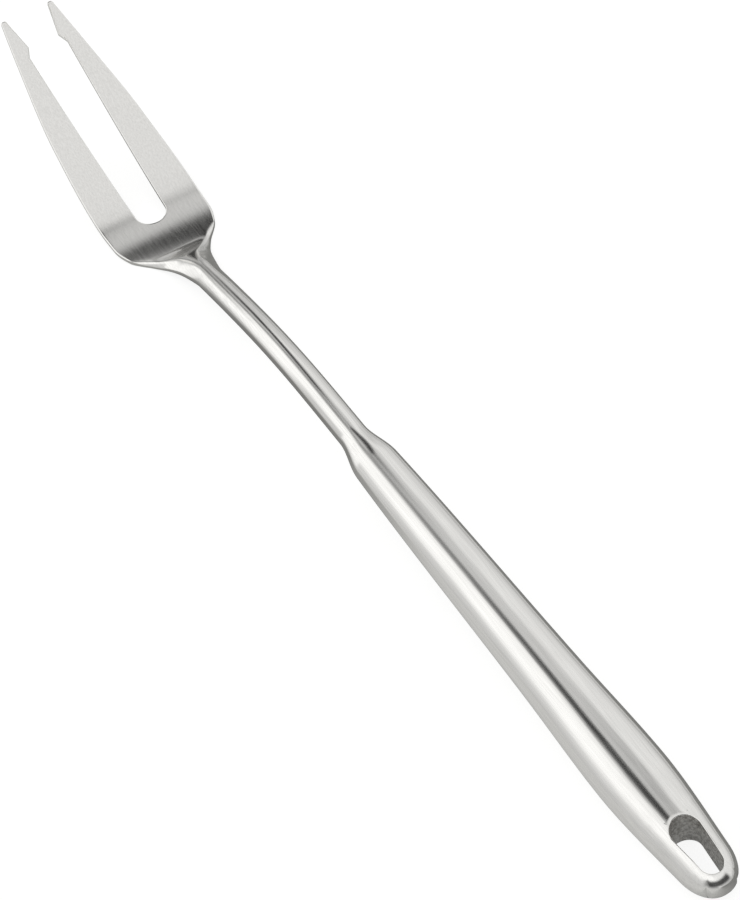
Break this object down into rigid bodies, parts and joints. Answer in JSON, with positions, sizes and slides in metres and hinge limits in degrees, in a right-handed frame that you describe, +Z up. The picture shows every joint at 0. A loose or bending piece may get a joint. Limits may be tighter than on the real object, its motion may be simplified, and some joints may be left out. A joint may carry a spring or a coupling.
{
  "type": "meat fork",
  "caption": "Stainless steel meat fork with barbed tines, a bent-up flat head, a slim arched neck and a tapered hollow handle with a hanging slot.",
  "frame": {"origin": "middle of the footprint, on the surface that the fork lies on", "axes": "+X along the fork from the handle towards the tines, +Y to its left, +Z up"},
  "size_m": [0.3383, 0.0302, 0.034],
  "materials": {
    "steel": "satin stainless steel, brushed along its length"
  },
  "bodies": {
    "root": {"fork": "steel"}
  },
  "joints": []
}
